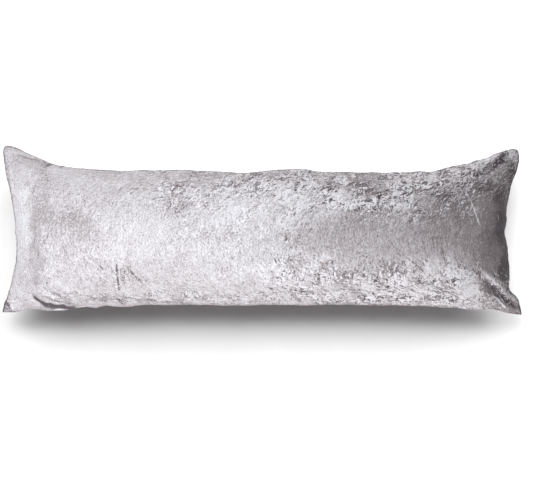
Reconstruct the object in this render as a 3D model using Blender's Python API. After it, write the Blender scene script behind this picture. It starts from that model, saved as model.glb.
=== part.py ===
"""Body pillow.

Two equal rectangles of crushed velvet, sewn face to face with one plain
knife-edge seam all round, turned and stuffed, lying on its back.

Frame: metres, +Z up. The pillow lies on the plane z = 0, +X runs along its
length, +Y across it, and the origin is under the middle of its bounding box.
The front panel looks up, the back panel rests on the plane.
"""

import math

import bmesh
import bpy
import numpy as np

# ---------------------------------------------------------------------------
# Driving dimensions, in metres
# ---------------------------------------------------------------------------
CUT_LENGTH = 1.37          # one flat panel, seam to seam
CUT_WIDTH = 0.46
CROWN = 0.110              # front panel above the seam, at mid length
SEAM_HEIGHT = 0.088        # seam above the plane, along the long sides
SEAM_DROOP = 0.020         # how much lower the four corner ears hang
END_RISE = 0.215           # length over which each end swells to full crown
SEAM_ANGLE = math.radians(66)   # how steeply the front panel leaves the seam
BACK_FLATTEN = 0.72        # share of the half width where the back lies flat

CELLS_LONG = 78            # mesh cells along the length
CELLS_ACROSS = 25          # mesh cells across one panel
LONG_CROWDING = 0.42       # 0 even cells, 1 cells crowd towards the ends
ACROSS_CROWDING = 0.62

# Where the seam runs: the four corner ears, in millimetres.
#           name           x       y
CORNERS = {
    "left_back":   (-654.5,  221.0),
    "right_back":  (657.5,  210.5),
    "left_front":  (-671.5, -215.0),
    "right_front": (671.5, -221.5),
}

# The two long seams, a row for each station along the length. The sides draw
# in between the ears, and the back one more than the front one. fullness is
# how high the crown stands there, as a share of CROWN.
#   x mm   back y  front y  fullness
LONG_SEAMS = [
    (-672,  223.5, -215.0,  0.93),
    (-640,  218.5, -211.0,  0.93),
    (-604,  201.5, -207.0,  0.93),
    (-562,  184.0, -203.0,  0.94),
    (-521,  170.5, -204.5,  0.96),
    (-459,  162.8, -201.0,  0.99),
    (-366,  156.5, -199.5,  1.02),
    (-200,  157.5, -195.0,  1.03),
    (-56,  151.0, -197.0,  1.01),
    (85,  159.7, -195.8,  1.00),
    (210,  152.6, -195.0,  1.02),
    (380,  152.6, -196.0,  1.00),
    (441,  154.5, -200.0,  0.97),
    (503,  170.4, -202.5,  0.96),
    (545,  179.5, -208.5,  0.93),
    (602,  198.5, -208.0,  0.92),
    (640,  209.5, -215.0,  0.92),
    (672,  211.0, -221.5,  0.92),
]

# The two end seams, a row for each station across the width.
#   y mm   left x  right x
END_SEAMS = [
    (-222,  -674.5,  672.0),
    (-205,  -667.5,  670.0),
    (-188,  -660.0,  666.0),
    (-172,  -655.5,  654.0),
    (-155,  -651.0,  641.5),
    (-120,  -641.0,  640.0),
    (-55,  -637.0,  637.0),
    (-5,  -639.5,  630.5),
    (40,  -643.5,  634.0),
    (80,  -649.5,  638.5),
    (130,  -660.0,  650.0),
    (175,  -666.5,  663.0),
    (222,  -655.0,  658.0),
]

# Main folds, a row each: where the middle of the fold lies, half its length,
# the way it runs, how far it bows, half its width and how deep it is. Minus
# is a trough, plus is a ridge. All in millimetres and degrees.
#   name                    face      x     y  half  angle  bow  width depth
FOLDS = [
    ("left end roll",      "front", -618,    0, 185,   91,   14,  26,   4.0),
    ("left end trough",    "front", -572,  -15, 165,   90,   10,  20,  -7.0),
    ("left smile trough",  "front", -538, -184,  72,  -14,  -20,  12,  -9.0),
    ("left smile lip",     "front", -515, -160,  78,  -13,  -18,  14,   3.5),
    ("left back crease",   "front", -585,  186,  72,  -31,    6,  13,  -8.0),
    ("left back lip",      "front", -600,  160,  80,  -36,    6,  17,   3.5),
    ("right end trough",   "front",  592,    5, 150,   90,   -8,  20,  -5.0),
    ("right notch fold",   "front",  612,   -4,  46,    4,    0,  12,  -4.5),
    ("right front ridge",  "front",  606, -132,  92,  -38,    8,  14,   6.0),
    ("right front trough", "front",  583, -158,  96,  -35,    8,  13,  -8.0),
    ("right back crease",  "front",  598,  172,  70,   33,   -6,  14,  -7.0),
    ("right shoulder",     "front",  462,  142,  44,   62,    0,  15,  -5.0),
    ("left front gather",  "back",  -585, -150,  80,   38,    0,  17,  -7.0),
    ("left back gather",   "back",  -580,  150,  80,  -38,    0,  17,  -7.0),
    ("right front gather", "back",   590, -150,  80,  -38,    0,  17,  -7.0),
    ("right back gather",  "back",   585,  150,  80,   38,    0,  17,  -7.0),
]

# Soft broad swellings and hollows that make the stuffing uneven.
#   x mm    y mm  along  across  height
STUFFING = [
    (-470,    40,   120,     90,    3.0),
    (-300,   -60,   110,     80,   -3.0),
    (-120,    55,   130,     80,    3.5),
    (75,     90,    90,     60,    4.0),
    (180,   -50,   120,     80,   -3.5),
    (360,    30,   110,     90,    3.0),
    (500,   -40,    80,     90,   -2.5),
]


# ---------------------------------------------------------------------------
# Reading the tables
# ---------------------------------------------------------------------------
def smooth_line(stations, values, at):
    """A cubic through the stations that keeps the mean slope at each."""
    stations = np.asarray(stations, float)
    values = np.asarray(values, float)
    steps = np.diff(values) / np.diff(stations)
    slopes = np.concatenate([[steps[0]], (steps[1:] + steps[:-1]) / 2, [steps[-1]]])
    at = np.clip(at, stations[0], stations[-1])
    i = np.clip(np.searchsorted(stations, at) - 1, 0, len(stations) - 2)
    h = stations[i + 1] - stations[i]
    t = (at - stations[i]) / h
    return (
        (2 * t**3 - 3 * t**2 + 1) * values[i]
        + (t**3 - 2 * t**2 + t) * h * slopes[i]
        + (3 * t**2 - 2 * t**3) * values[i + 1]
        + (t**3 - t**2) * h * slopes[i + 1]
    )


def column(table, index):
    return [row[index] for row in table]


def crowded(cells, crowding):
    """Cell edges from 0 to 1, closer together towards both ends."""
    even = np.linspace(0, 1, cells + 1)
    eased = (1 - np.cos(math.pi * even)) / 2
    return (1 - crowding) * even + crowding * eased


def outline_point(u, v):
    """Plan position, in mm, of the cloth at u along (0 to 1) and v across."""
    lb, rb = CORNERS["left_back"], CORNERS["right_back"]
    lf, rf = CORNERS["left_front"], CORNERS["right_front"]
    back_x = lb[0] + u * (rb[0] - lb[0])
    front_x = lf[0] + u * (rf[0] - lf[0])
    xs = column(LONG_SEAMS, 0)
    back_y = smooth_line(xs, column(LONG_SEAMS, 1), back_x)
    front_y = smooth_line(xs, column(LONG_SEAMS, 2), front_x)
    left_y = lf[1] + v * (lb[1] - lf[1])
    right_y = rf[1] + v * (rb[1] - rf[1])
    ys = column(END_SEAMS, 0)
    left_x = smooth_line(ys, column(END_SEAMS, 1), left_y)
    right_x = smooth_line(ys, column(END_SEAMS, 2), right_y)
    corner_x = (
        (1 - u) * (1 - v) * lf[0] + u * (1 - v) * rf[0]
        + (1 - u) * v * lb[0] + u * v * rb[0]
    )
    corner_y = (
        (1 - u) * (1 - v) * lf[1] + u * (1 - v) * rf[1]
        + (1 - u) * v * lb[1] + u * v * rb[1]
    )
    x = (1 - v) * front_x + v * back_x + (1 - u) * left_x + u * right_x - corner_x
    y = (1 - v) * front_y + v * back_y + (1 - u) * left_y + u * right_y - corner_y
    return x, y


# ---------------------------------------------------------------------------
# Heights
# ---------------------------------------------------------------------------
def arc(share):
    """Height of a circular arc, 0 at the seam (share 0) to 1 at share 1."""
    radius = 1 / math.sin(SEAM_ANGLE)
    foot = radius * math.cos(SEAM_ANGLE)
    across = 1 - np.clip(share, 0, 1)
    return (np.sqrt(radius**2 - across**2) - foot) / (radius - foot)


def swell(u, v):
    """How full the pillow is at u, v: 0 on the seam and 1 along the spine."""
    length_mm = CUT_LENGTH * 1000
    from_end = np.minimum(u, 1 - u) * length_mm / (END_RISE * 1000)
    from_side = np.minimum(v, 1 - v) * 2
    return arc(from_end) * arc(from_side)


def fold_height(face, x, y):
    total = np.zeros_like(x)
    for _, on, fx, fy, half, angle, bow, width, depth in FOLDS:
        if on != face:
            continue
        c, s = math.cos(math.radians(angle)), math.sin(math.radians(angle))
        along = ((x - fx) * c + (y - fy) * s) / half
        across = -(x - fx) * s + (y - fy) * c - bow * (1 - along**2)
        fade = np.clip(1 - along**2, 0, 1) ** 1.5
        total += depth * fade * np.exp(-((across / width) ** 2))
    return total


def stuffing_height(x, y):
    total = np.zeros_like(x)
    for sx, sy, along, across, height in STUFFING:
        total += height * np.exp(-(((x - sx) / along) ** 2) - ((y - sy) / across) ** 2)
    return total


def seam_height(u, v):
    """The seam sags a little towards each corner ear."""
    ear = (np.abs(2 * u - 1) ** 6) * (np.abs(2 * v - 1) ** 3)
    return SEAM_HEIGHT - SEAM_DROOP * ear


def panel_heights(u, v, x, y):
    full = swell(u, v)
    seam = seam_height(u, v)
    station = smooth_line(column(LONG_SEAMS, 0), column(LONG_SEAMS, 3), x)
    # Folds and lumps fade out on the seam itself, where both panels meet.
    free = np.clip(full / 0.30, 0, 1)
    front = seam + CROWN * station * full + free * (
        fold_height("front", x, y) + stuffing_height(x, y)
    ) / 1000
    # The back bulges down just as far, but the plane stops it: it eases into
    # a dead flat patch.
    press = np.clip(full / BACK_FLATTEN, 0, 1)
    back = seam * (1 - press) ** 1.75
    lift = np.clip((1 - press) / 0.5, 0, 1) * free
    back = back - lift * fold_height("back", x, y) / 1000
    return front, np.where(press >= 1, 0.0, np.maximum(back, 0.0))


# ---------------------------------------------------------------------------
# The filled solid
# ---------------------------------------------------------------------------
def build_pillow():
    us = crowded(CELLS_LONG, LONG_CROWDING)
    vs = crowded(CELLS_ACROSS, ACROSS_CROWDING)
    u, v = np.meshgrid(us, vs, indexing="ij")
    x, y = outline_point(u, v)
    front, back = panel_heights(u, v, x, y)
    edge = (u == 0) | (u == 1) | (v == 0) | (v == 1)
    seam = seam_height(u, v)

    bm = bmesh.new()
    top, under = {}, {}
    for i in range(len(us)):
        for j in range(len(vs)):
            px, py = x[i, j] / 1000, y[i, j] / 1000
            if edge[i, j]:
                top[i, j] = under[i, j] = bm.verts.new((px, py, seam[i, j]))
            else:
                top[i, j] = bm.verts.new((px, py, front[i, j]))
                under[i, j] = bm.verts.new((px, py, back[i, j]))
    for i in range(len(us) - 1):
        for j in range(len(vs) - 1):
            ring = [(i, j), (i + 1, j), (i + 1, j + 1), (i, j + 1)]
            bm.faces.new([top[k] for k in ring])
            bm.faces.new([under[k] for k in reversed(ring)])
    bm.normal_update()
    mesh = bpy.data.meshes.new("pillow_body")
    bm.to_mesh(mesh)
    bm.free()
    mesh.shade_smooth()
    mesh.set_sharp_from_angle(angle=math.radians(70))
    return bpy.data.objects.new("pillow_body", mesh)


def velvet():
    """Silver grey crushed velvet."""
    material = bpy.data.materials.new("silver_crushed_velvet")
    material.use_nodes = True
    shader = material.node_tree.nodes["Principled BSDF"]
    shader.inputs["Base Color"].default_value = (0.37, 0.345, 0.375, 1.0)
    shader.inputs["Roughness"].default_value = 0.55
    shader.inputs["Metallic"].default_value = 0.0
    return material


def main():
    for obj in list(bpy.data.objects):
        bpy.data.objects.remove(obj)
    pillow = build_pillow()
    pillow.data.materials.append(velvet())
    bpy.context.scene.collection.objects.link(pillow)


main()
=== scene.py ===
"""Looks of the body pillow: silver grey crushed velvet, two panels sewn round the edge and stuffed.

Everything is in metres in the row's frame: the pillow lies on z = 0, +X along its length, +Y across.
The tables below are in millimetres.
"""

import math

import bmesh
import bpy
import numpy as np
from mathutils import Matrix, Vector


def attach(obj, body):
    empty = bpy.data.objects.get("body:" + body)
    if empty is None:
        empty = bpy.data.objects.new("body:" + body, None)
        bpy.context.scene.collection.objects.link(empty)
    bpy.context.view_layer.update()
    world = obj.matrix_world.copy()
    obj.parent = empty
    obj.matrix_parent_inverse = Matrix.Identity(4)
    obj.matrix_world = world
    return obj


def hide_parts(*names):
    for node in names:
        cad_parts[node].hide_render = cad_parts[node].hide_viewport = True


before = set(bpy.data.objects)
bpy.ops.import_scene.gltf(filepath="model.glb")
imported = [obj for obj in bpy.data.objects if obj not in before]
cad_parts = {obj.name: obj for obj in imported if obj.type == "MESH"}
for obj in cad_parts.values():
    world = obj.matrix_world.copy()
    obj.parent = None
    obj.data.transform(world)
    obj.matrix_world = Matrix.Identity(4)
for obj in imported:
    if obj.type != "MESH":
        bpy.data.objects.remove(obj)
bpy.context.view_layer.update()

# ---------------------------------------------------------------------------
# The cut and the stuffing
# ---------------------------------------------------------------------------
CUT = (1370.0, 460.0)      # one flat panel, seam to seam
CROWN = 110.0
SEAM_HEIGHT = 88.0
SEAM_DROOP = 20.0
END_RISE = 215.0
SEAM_ANGLE = math.radians(66)
BACK_FLATTEN = 0.72

# The corners of the seam, as if they were sharp, and how round each is turned.
#                    x       y     round
CORNERS = {
    "left_back":   (-673.5,  229.0, 28),
    "right_back":  (671.0,  220.0, 29),
    "left_front":  (-677.0, -216.5,  7),
    "right_front": (680.0, -222.5,  7),
}

# The long seams: x, back y, front y.
LONG_SEAMS = [
    (-672, 228.5, -216.0),
    (-645, 219.5, -215.5),
    (-625, 211.2, -213.0),
    (-604, 201.4, -208.3),
    (-583, 193.1, -207.5),
    (-562, 183.8, -208.5),
    (-541, 175.3, -209.3),
    (-521, 170.2, -209.2),
    (-490, 165.0, -205.8),
    (-459, 162.5, -200.8),
    (-428, 160.5, -202.0),
    (-397, 158.3, -197.5),
    (-366, 156.0, -199.5),
    (-300, 157.5, -195.5),
    (-241, 157.7, -194.8),
    (-148, 156.2, -195.2),
    (-87, 152.8, -197.0),
    (-56, 150.7, -197.3),
    (7, 155.0, -194.8),
    (69, 159.7, -195.7),
    (100, 159.7, -196.0),
    (161, 153.6, -194.9),
    (224, 152.2, -194.7),
    (379, 152.4, -197.2),
    (410, 154.6, -197.5),
    (441, 154.6, -200.0),
    (456, 158.5, -201.5),
    (472, 163.3, -202.5),
    (503, 170.4, -203.0),
    (534, 175.3, -208.0),
    (555, 183.0, -208.5),
    (578, 189.2, -207.5),
    (602, 199.0, -208.5),
    (625, 206.8, -214.0),
    (648, 213.5, -219.5),
    (673, 219.5, -222.0),
]

# The end seams: y, left x, right x.
END_SEAMS = [
    (-222, -679.0, 680.0),
    (-211, -676.5, 677.5),
    (-201, -673.0, 674.5),
    (-190, -670.3, 671.5),
    (-180, -664.4, 667.8),
    (-170, -661.5, 661.5),
    (-160, -658.5, 649.5),
    (-149, -655.0, 644.5),
    (-129, -648.9, 644.2),
    (-108, -644.0, 643.4),
    (-87, -639.8, 643.0),
    (-67, -637.3, 641.2),
    (-46, -636.3, 638.4),
    (-25, -637.0, 634.6),
    (-14, -638.0, 632.4),
    (-5, -639.1, 630.9),
    (5, -639.6, 632.6),
    (16, -640.1, 635.6),
    (37, -642.0, 636.2),
    (58, -645.1, 637.2),
    (78, -648.8, 641.0),
    (99, -652.0, 645.0),
    (120, -657.2, 649.8),
    (140, -662.3, 656.8),
    (161, -666.6, 664.4),
    (182, -670.2, 670.9),
    (203, -673.6, 671.8),
    (228, -673.5, 671.0),
]

# How high the crown stands along the length, as a share of CROWN.
FULLNESS = [
    (-672, 0.93), (-562, 0.94), (-459, 0.99), (-366, 1.02), (-200, 1.03), (-56, 1.01),
    (85, 1.00), (210, 1.02), (380, 1.00), (441, 0.97), (545, 0.93), (672, 0.92),
]

# Folds: x, y of the middle, half length, way it runs, bow, half width, depth. Minus is a trough.
#   name                  face      x     y   half angle  bow width depth
FOLDS = [
    ("left end roll",     "front", -618,    0, 185,   91,  14, 24,  4.0),
    ("left end trough",   "front", -575,  -15, 165,   90,  10, 18, -6.5),
    ("left smile",        "front", -524, -189,  66,   -8,  -3,  7, -8.0),
    ("left smile hook",   "front", -577, -176,  20,  -46,  -3,  6, -2.5),
    ("left smile lip",    "front", -520, -168,  72,  -13, -12,  8,  4.0),
    ("left smile upper",  "front", -520, -146,  64,  -18, -12,  7, -4.0),
    ("left back crease",  "front", -590,  190,  72,  -29,   5, 10, -7.0),
    ("left back lip",     "front", -600,  160,  80,  -36,   6, 16,  3.5),
    ("right end trough",  "front",  592,    5, 150,   90,  -8, 20, -5.0),
    ("right notch",       "front",  612,   -4,  46,    4,   0, 11, -4.5),
    ("right front ridge", "front",  611, -138,  88,  -39,  -3,  9,  6.5),
    ("right front trough", "front", 603, -157,  88,  -37,  -2, 10, -9.0),
    ("right back crease", "front",  598,  172,  70,   33,  -6, 12, -7.0),
    ("right shoulder",    "front",  462,  142,  44,   62,   0, 12, -5.0),
    ("left front gather", "back",  -585, -150,  80,   38,   0, 15, -7.0),
    ("left back gather",  "back",  -580,  150,  80,  -38,   0, 15, -7.0),
    ("right front gather", "back",  590, -150,  80,  -38,   0, 15, -7.0),
    ("right back gather", "back",   585,  150,  80,   38,   0, 15, -7.0),
]

# Broad swellings and hollows of the stuffing: x, y, along, across, height.
STUFFING = [
    (-470, 40, 120, 90, 3.0),
    (-300, -60, 110, 80, -3.0),
    (-120, 55, 130, 80, 3.5),
    (75, 90, 90, 60, 4.0),
    (180, -50, 120, 80, -3.5),
    (360, 30, 110, 90, 3.0),
    (500, -40, 80, 90, -2.5),
]

# How light the pile looks, patch by patch: x, y of the middle, half sizes, turn in degrees, change.
# The patches mix the pile's own lay with painted light and shade: painted shade darkens the right end and the trough
# and dusk by the left end, and a painted highlight lies on the left roll.
#   name                     x      y  half  half  turn   tone
PILE_TONES_AND_PAINTED_LIGHT = [
    # The left end's rows: painted shade in its trough and dusk, and a painted highlight on its roll.
    ("left end shade",       -576,   -52,   18,  106,    5, -0.20),
    ("left dusk",            -554,    64,   26,   96,    0, -0.15),
    ("left front dusk",      -596,  -136,   20,   40,   -8, -0.09),
    ("left back dusk",       -630,   176,   32,   28,    0, -0.09),
    ("left shoulder light",  -534,   154,   26,   18,  -35,  0.07),
    ("left quiet patch",     -482,    22,   68,   32,  -12, -0.23),
    ("left quiet below",     -472,   -38,   80,   40,   10, -0.10),
    ("left back drift",      -486,   142,  146,   32,  -14,  0.07),
    ("left roll light",      -596,     4,   12,   90,    5,  0.10),
    ("left core",            -322,    -6,  120,   86,    0,  0.04),
    ("left scuff",           -348,  -116,   50,   22,  -15, -0.06),
    ("back dark drift",      -216,    66,   22,   38,    0, -0.11),
    ("middle light",          -52,    52,  106,   50,   -8,  0.15),
    ("middle light low",        2,   -70,   50,   56,    0,  0.06),
    ("light crush a",          62,    92,   38,   30,    0,  0.24),
    ("light crush b",         196,    82,   48,   18,    0,  0.20),
    ("dark crush a",          160,   102,   22,   16,    0, -0.18),
    ("dark crush b",          264,   114,   38,   26,    6, -0.40),
    ("light crush c",         388,    82,   30,   18,    0,  0.26),
    ("light crush g",         326,    62,   46,   12,    0,  0.14),
    ("light crush h",         444,   126,   22,   16,    0,  0.40),
    ("light crush i",         -66,   122,   18,   12,    0,  0.12),
    ("light crush m",         106,    56,   26,   22,  -40,  0.20),
    ("light crush l",         364,    48,   22,   18,    0,  0.20),
    ("light sweep b",         -90,   -56,   76,   36,    0,  0.06),
    ("light speck g",         236,    64,   22,   16,    0,  0.12),
    ("dark speck a",          240,    22,   22,   18,    0, -0.10),
    ("dark front j",          180,  -110,   26,   18,    0, -0.08),
    ("light sweep c",          46,     2,   22,   20,    0,  0.09),
    ("dark speck d",          414,    28,   30,   22,    0, -0.12),
    ("dark speck e",          436,    94,   38,   16,    0, -0.28),
    ("light speck f",         374,    96,   20,   16,    0,  0.24),
    ("light crush j",        -272,    92,   22,   20,    0,  0.08),
    ("dark crush c",          352,    86,   18,   12,    0, -0.22),
    ("dark hem c",            314,   142,  100,   10,    0, -0.20),
    ("light crush e",         142,   118,   18,   18,    0,  0.20),
    ("light crush f",         214,   124,   22,   16,    0,  0.30),
    ("light sweep",           152,    48,   50,   16,  -28,  0.12),
    ("light crush d",         396,   136,   46,   12,    0,  0.12),
    ("dark hem a",              2,   134,   36,   12,   -4, -0.12),
    ("dark hem b",             50,   128,   22,   12,    0, -0.12),
    ("satin middle",          252,   -12,  166,   48,    0, -0.13),
    ("satin fold",            292,    38,   66,   18,    0, -0.14),
    ("satin right",           472,   -26,  106,   50,    0, -0.12),
    ("dark back right",       478,    66,   80,   56,   -8, -0.31),
    ("light haze",            544,    18,   22,   56,   -8,  0.13),
    # Painted shade: the right end, turned away from the light, is painted darker.
    ("right end",             642,     0,   32,  116,    0, -0.48),
    ("right end shade",       580,    -6,   56,  132,    0, -0.20),
    ("light front right",     512,  -130,   70,   30,  -36,  0.25),
    ("light front c",         362,  -136,   32,   18,    0,  0.22),
    ("light front d",         438,  -114,   26,   28,  -60,  0.20),
    ("right back dusk",       564,   116,   30,   22,    0, -0.38),
    ("right middle dusk",     574,   -74,   26,   22,    0, -0.09),
    ("right front dusk",      636,  -102,   26,   40,    0, -0.42),
    ("right back end",        638,   162,   20,   30,    0, -0.26),
    ("right edge",            610,    68,   20,   66,    0, -0.26),
    ("light front a",         176,  -140,   26,   18,    0,  0.08),
    ("dark front a",          322,  -104,   30,   20,    0, -0.26),
    ("dark front b",          226,  -130,   28,   18,    0, -0.20),
    ("light front k",         276,  -150,   20,   18,    0,  0.14),
    ("light front l",         346,  -126,   26,   20,    0,  0.08),
    ("light hem end",         550,  -198,   30,   10,   -6,  0.16),
    ("valley end",            602,  -188,   22,   12,  -35, -0.32),
    ("light hem spot",       -284,  -156,   20,   20,    0,  0.08),
    ("dark front d",         -398,  -180,   22,   12,    0, -0.08),
    ("dark front e",          346,  -168,   30,   12,    0, -0.16),
    ("light front e",         408,  -164,   36,   16,   -8,  0.22),
    ("dark front g",          408,  -134,   18,   16,    0, -0.20),
    ("dark front i",          516,   -98,   18,   18,    0, -0.10),
    ("light front n",         160,   -74,   18,   16,    0,  0.12),
    ("light front o",         488,   -78,   18,   16,    0,  0.10),
    ("light front g",         152,  -176,   30,   12,    0,  0.12),
    ("light front h",          66,  -140,   36,   20,    0,  0.08),
    ("light front i",         -62,  -126,  126,   38,    0,  0.08),
    ("light front j",         538,  -156,   22,   20,    0,  0.36),
    ("light front b",         124,  -106,   20,   18,    0,  0.18),
    ("light front f",         374,   -86,   22,   16,    0,  0.12),
    ("left hem dusk",        -372,  -174,   38,   12,    0, -0.13),
    ("back ear tip",          656,   202,   16,   16,    0,  0.76),
    ("back ear body",         602,   192,   30,   12,   24,  0.40),
    ("back ear shade",        550,   182,   20,   10,   20, -0.14),
]

# Where the pile is crushed most, on a scale of 0 to 1, and where it is combed flat in fine lines
# along Y. A usual place has a crush of USUAL_CRUSH.
USUAL_CRUSH = 0.15
#   name                     x      y  half  half  turn  crush  satin
CRUSHES = [
    ("calm core",            -322,   -22,  100,   70,    0, -0.20,  0.00),
    ("middle fine",           -32,   -12,  152,   60,    0,  0.08,  0.00),
    ("back edge",             308,   144,  252,   16,    0,  0.62,  0.00),
    ("back edge left",       -278,   146,  226,   12,    0,  0.22,  0.00),
    ("calm left front",      -496,  -106,   76,   26,    0, -0.06,  0.00),
    ("calm middle front",    -172,  -100,   46,   22,    0, -0.14,  0.00),
    ("left end roll",        -606,    12,   42,  192,    0, -0.16,  0.30),
    ("left scuff",           -362,  -118,   36,   32,    0,  0.16,  0.00),
    ("smile",                -526,  -170,   66,   18,    0,  0.10,  0.00),
    ("front hem",            -232,  -174,  212,   16,    0,  0.42,  0.00),
    ("back drift",           -208,    78,   36,   42,    0,  0.35,  0.00),
    ("back band left",        -72,   108,  192,   50,    0,  0.42,  0.00),
    ("back hem",               -8,   132,   46,   16,    0,  0.35,  0.00),
    ("middle wrinkle",         92,    28,   30,   46,  -20,  0.30,  0.00),
    ("back band right",       260,   114,  222,   58,    0,  0.80,  0.00),
    ("back shoulder",         466,   134,  126,   32,    9,  0.70,  0.00),
    ("back ear",              606,   176,   70,   36,   20,  0.66,  0.00),
    ("back ear tip",          650,   200,   20,   20,    0,  0.75,  0.00),
    ("front valley",          588,  -156,   56,   12,  -37, -0.50,  0.00),
    ("band below",            316,    48,  156,   32,    0,  0.42,  0.00),
    ("right flecks",          538,   104,   70,   50,  -15,  0.45,  0.00),
    ("front hem right",       326,  -178,  278,   16,    0,  0.35,  0.00),
    ("front band left",        76,  -106,   66,   50,    0,  0.35,  0.00),
    ("front band right",      342,  -150,  272,   60,    0,  0.76,  0.00),
    ("front light crush",     506,  -134,   66,   40,  -30,  0.60,  0.00),
    ("front ear",             596,  -156,   56,   36,    0,  0.75,  0.00),
    ("haze",                  528,    58,   26,   38,    0,  0.25,  0.00),
    ("satin middle",          284,   -26,  202,   42,    0, -0.06,  0.90),
    ("satin right",           476,   -26,  106,   50,    0, -0.10,  0.70),
    ("satin light",           -66,   -22,  138,   50,    0,  0.06,  0.40),
    ("right end",             590,     4,   36,  132,    0, -0.12,  0.30),
]

# Where the cloth is painted lighter or darker along a fold, a crease or the seam: painted shade in the troughs and by
# the seam at the left edge and ears, painted highlights on the ridges, lips and rims, and a few darker blots. The
# columns: x, y of the middle, half length, way it runs, bow, half width, change of tone.
#   name                     x     y  half angle   bow width   tone
FOLD_PAINTED_LIGHT_AND_BLOTS = [
    ("smile hook",            -568, -178,  27,  -39,  -3.1,  3.6, -1.05),
    ("smile trough",          -520, -195,  58,   -5,  -2.3,  4.9, -1.05),
    ("smile rim",             -517, -206,  52,   -3,  -0.5,  2.6,  0.42),
    ("smile rim b",           -464, -199,  16,   -1,   0.0,  2.6,  0.50),
    ("smile lip",             -517, -186,  57,  -10,  -2.8,  2.3,  0.26),
    ("smile second crease",   -507, -181,  77,  -15,  -3.9,  3.3, -0.46),
    ("smile third crease",    -517, -163,  38,  -30,  -4.1,  3.3, -0.44),
    ("hem blot a",            -430, -176,  15,  -22,   0.0,  4.4, -0.34),
    ("hem blot b",            -401, -180,  13,  -47,   0.0,  4.9, -0.46),
    ("hem blot c",            -364, -182,  14,  -47,   0.0,  3.6, -0.60),
    ("hem ridge",             -355, -174,  57,  -16,  -0.8,  2.1,  0.20),
    ("left back line",        -594,  183,  57,  -19,   1.5,  2.3, -0.34),
    ("left back strip",       -604,  193,  57,  -20,   1.0,  4.9,  0.16),
    ("left back blot",        -550,  167,  15,   18,   0.0,  3.9, -0.60),
    ("left back blot b",      -517,  163,  10,  -12,   0.0,  2.6, -0.50),
    ("right back band",        610,  178,  59, -135,   0.0, 10.0, -0.80),
    ("right back edge",        646,  140,  47, -102,   0.0,  7.7, -0.32),
    ("right front ridge",      615, -145,  89,  -39,  -3.4,  4.9,  0.64),
    ("right front valley",     608, -160,  82,  -36,  -1.0,  9.8, -0.68),
    ("right front tip",        650, -197,  28,  -28,  -1.0,  9.3, -0.26),
    ("left edge shade",       -649,   98,  93,  -82,   2.6,  3.3, -0.26),
    ("left edge blot",        -636,   88,   6,  -36,   0.0,  2.6, -0.42),
    ("left edge low",         -637,  -61,  64,  -97,   3.1,  2.1, -0.16),
    ("left front ear seam",   -652, -195,  30,  -58,  -3.6,  2.3, -0.50),
    ("left front ear back",   -665, -198,  26,  -80,   0.0,  8.5, -0.42),
    ("left front ear edge",   -663, -196,  31, -109,   0.0,  2.6,  0.20),
    ("right back strip",       580,  186,  59,   25,   0.0,  4.6,  0.20),
    ("right front brow",       620, -120,  47,  -45,   0.0,  8.8, -0.24),
    ("back hem blot",           -7,  142,  34,  -13,   0.0,  4.9, -0.38),
    ("front hem crease",      -240, -183, 110,   -4,  -2.3,  2.3, -0.30),
    ("front hem crease b",     -89, -189,  66,    1,  -1.0,  2.3, -0.26),
]
# Thin lines scratched and pressed into the pile, with the same columns.
STROKES = [
    ("long crease",           -362, -120,  46,  -89,   0.8,  2.1, -0.50),
    ("scuff a",               -331, -101,  18,  -53,  -1.3,  2.4, -0.26),
    ("scuff b",               -318, -113,  26,  -54,  -1.8,  2.5, -0.28),
    ("scuff c",               -305, -129,  17,  -55,   0.0,  2.1, -0.26),
    ("scuff d",               -344, -106,  16,  -59,   0.0,  2.0, -0.20),
    ("nick a",                -401,  -95,   8,  -45,   0.0,  2.0, -0.50),
    ("nick b",                -407, -120,  14,  -66,   1.0,  2.3, -0.26),
    ("scratch",                540,   43,  37,  -70,  -0.5,  1.4,  1.05),
    ("scratch b",              607,   29,  13,  -77,   0.0,  1.3,  0.36),
    ("scratch c",              521,   89,  11,  -67,   0.0,  1.8,  0.40),
    ("bow line",               385,  -90,  44,  -40,   4.0,  1.5, -0.42),
    ("bow line b",             458,  -72,  34,  -73,   1.3,  1.3, -0.28),
    ("front line",             368, -147,  30,  -22,  -0.8,  2.3, -0.34),
    ("back line",              455,  153,  22,  -11,   0.0,  1.8, -0.45),
    ("ear fleck a",            610, -181,  12,  -52,   0.8,  2.5,  0.66),
    ("ear fleck b",            624, -195,  12,  -47,   0.0,  2.5,  0.66),
    ("tip fleck a",            641,  205,   6,   27,   0.0,  1.5,  0.45),
    ("tip fleck b",            646,  193,   7,   29,   0.0,  1.5,  0.45),
    ("tip fleck c",            650,  200,   8,   10,   0.0,  1.3, -0.55),
    ("tip fleck d",            654,  188,   6,   36,   0.0,  1.5, -0.45),
    ("tip fleck e",            653,  208,   6,  -60,   0.0,  1.4, -0.40),
]

CELL = 3.1                 # usual size of a mesh cell on the front panel
SEAM_CELL = 1.3            # and next to the seam
SEAM_DARK = 6.0            # how far from the thread the cloth lies in shade


# ---------------------------------------------------------------------------
# Shape of the filled pillow
# ---------------------------------------------------------------------------
def smooth_line(rows, index, at):
    """A cubic through a table's stations that keeps the mean slope at each."""
    xs = np.array([row[0] for row in rows], float)
    values = np.array([row[index] for row in rows], float)
    steps = np.diff(values) / np.diff(xs)
    slopes = np.concatenate([[steps[0]], (steps[1:] + steps[:-1]) / 2, [steps[-1]]])
    at = np.clip(at, xs[0], xs[-1])
    i = np.clip(np.searchsorted(xs, at) - 1, 0, len(xs) - 2)
    h = xs[i + 1] - xs[i]
    t = (at - xs[i]) / h
    return (
        (2 * t**3 - 3 * t**2 + 1) * values[i]
        + (t**3 - 2 * t**2 + t) * h * slopes[i]
        + (3 * t**2 - 2 * t**3) * values[i + 1]
        + (t**3 - t**2) * h * slopes[i + 1]
    )


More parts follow.
